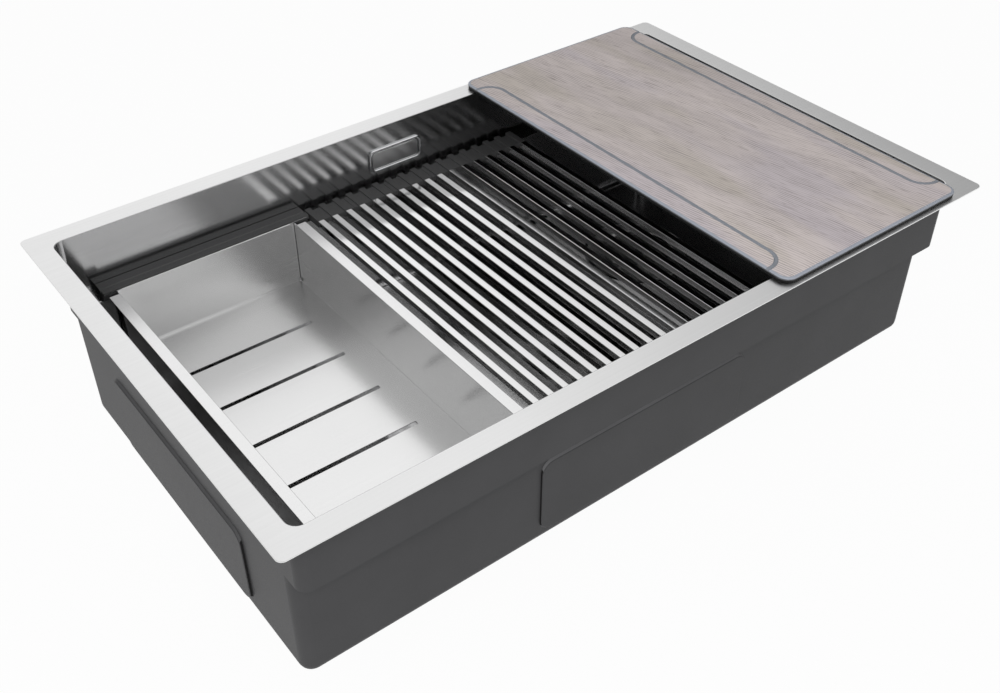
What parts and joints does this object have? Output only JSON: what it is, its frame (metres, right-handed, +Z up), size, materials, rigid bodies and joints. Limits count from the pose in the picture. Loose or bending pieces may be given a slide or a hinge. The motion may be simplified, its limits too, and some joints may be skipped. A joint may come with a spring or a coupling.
{
  "type": "workstation kitchen sink",
  "caption": "Drop-in steel kitchen sink with inner ledges for a colander and a roll-up drying rack, a cutting board across its flange, an overflow and a basket strainer.",
  "frame": {"origin": "centre of the bowl's opening, in the plane of the flange's underside, which lies on the worktop", "axes": "+X to the right along the front edge, +Y to the back wall with the overflow, +Z up"},
  "size_m": [0.78, 0.479, 0.2805],
  "materials": {
    "bowl_steel": "satin brushed inside, dark grey sound coating outside",
    "brushed_steel": "brushed",
    "chrome": "polished",
    "damping_pad": "matt",
    "silicone": "matt",
    "gasket_rubber": "matt",
    "white_plastic": "moulded",
    "card": "plain",
    "board_oak": "matt grained"
  },
  "bodies": {
    "bowl": {"bowl_shell": "bowl_steel", "damping_pad_back": "damping_pad", "damping_pad_floor": "damping_pad", "damping_pad_front": "damping_pad", "damping_pad_left": "damping_pad", "damping_pad_right": "damping_pad", "overflow_bezel": "chrome", "overflow_cover": "chrome", "overflow_gasket": "gasket_rubber", "overflow_housing": "white_plastic", "strainer_body": "brushed_steel", "strainer_friction_ring": "card", "strainer_gasket": "gasket_rubber", "strainer_locknut": "white_plastic", "strainer_seal": "gasket_rubber", "rack_end_back_6": "silicone", "rack_end_front_6": "silicone", "rack_bar_16": "brushed_steel", "rack_bar_17": "brushed_steel"},
    "colander": {"colander_tray": "brushed_steel", "colander_edging_back": "silicone", "colander_edging_front": "silicone"},
    "board": {"board_panel": "board_oak", "board_base": "silicone"},
    "strainer_basket": {"basket": "brushed_steel", "basket_knob": "chrome", "basket_seal": "gasket_rubber"},
    "rack_group_5": {"rack_end_back_5": "silicone", "rack_end_front_5": "silicone", "rack_bar_13": "brushed_steel", "rack_bar_14": "brushed_steel", "rack_bar_15": "brushed_steel"},
    "rack_group_4": {"rack_end_back_4": "silicone", "rack_end_front_4": "silicone", "rack_bar_10": "brushed_steel", "rack_bar_11": "brushed_steel", "rack_bar_12": "brushed_steel"},
    "rack_group_3": {"rack_end_back_3": "silicone", "rack_end_front_3": "silicone", "rack_bar_07": "brushed_steel", "rack_bar_08": "brushed_steel", "rack_bar_09": "brushed_steel"},
    "rack_group_2": {"rack_end_back_2": "silicone", "rack_end_front_2": "silicone", "rack_bar_04": "brushed_steel", "rack_bar_05": "brushed_steel", "rack_bar_06": "brushed_steel"},
    "rack_group_1": {"rack_end_back_1": "silicone", "rack_end_front_1": "silicone", "rack_bar_01": "brushed_steel", "rack_bar_02": "brushed_steel", "rack_bar_03": "brushed_steel"}
  },
  "joints": [
    {"name": "colander_lift", "type": "slide", "parent": "bowl", "child": "colander", "axis": [0, 0, 1], "range_m": [0, 0.2]},
    {"name": "board_lift", "type": "slide", "parent": "bowl", "child": "board", "axis": [0, 0, 1], "range_m": [0, 0.15]},
    {"name": "basket_lift", "type": "slide", "parent": "bowl", "child": "strainer_basket", "axis": [0, 0, 1], "range_m": [0, 0.06]},
    {"name": "rack_fold_5", "type": "hinge", "parent": "bowl", "child": "rack_group_5", "pos_m": [0.13038, 0, -0.0604], "axis": [0, 1, 0], "range_deg": [0, 25]},
    {"name": "rack_fold_4", "type": "hinge", "parent": "rack_group_5", "child": "rack_group_4", "pos_m": [0.08073, 0, -0.0604], "axis": [0, 1, 0], "range_deg": [0, 25]},
    {"name": "rack_fold_3", "type": "hinge", "parent": "rack_group_4", "child": "rack_group_3", "pos_m": [0.03108, 0, -0.0604], "axis": [0, 1, 0], "range_deg": [0, 25]},
    {"name": "rack_fold_2", "type": "hinge", "parent": "rack_group_3", "child": "rack_group_2", "pos_m": [-0.01857, 0, -0.0604], "axis": [0, 1, 0], "range_deg": [0, 25]},
    {"name": "rack_fold_1", "type": "hinge", "parent": "rack_group_2", "child": "rack_group_1", "pos_m": [-0.06822, 0, -0.0604], "axis": [0, 1, 0], "range_deg": [0, 25]}
  ],
  "couplings": [
    {"joint": "rack_fold_4", "follows": "rack_fold_5", "ratio": 1},
    {"joint": "rack_fold_3", "follows": "rack_fold_5", "ratio": 1},
    {"joint": "rack_fold_2", "follows": "rack_fold_5", "ratio": 1},
    {"joint": "rack_fold_1", "follows": "rack_fold_5", "ratio": 1}
  ]
}
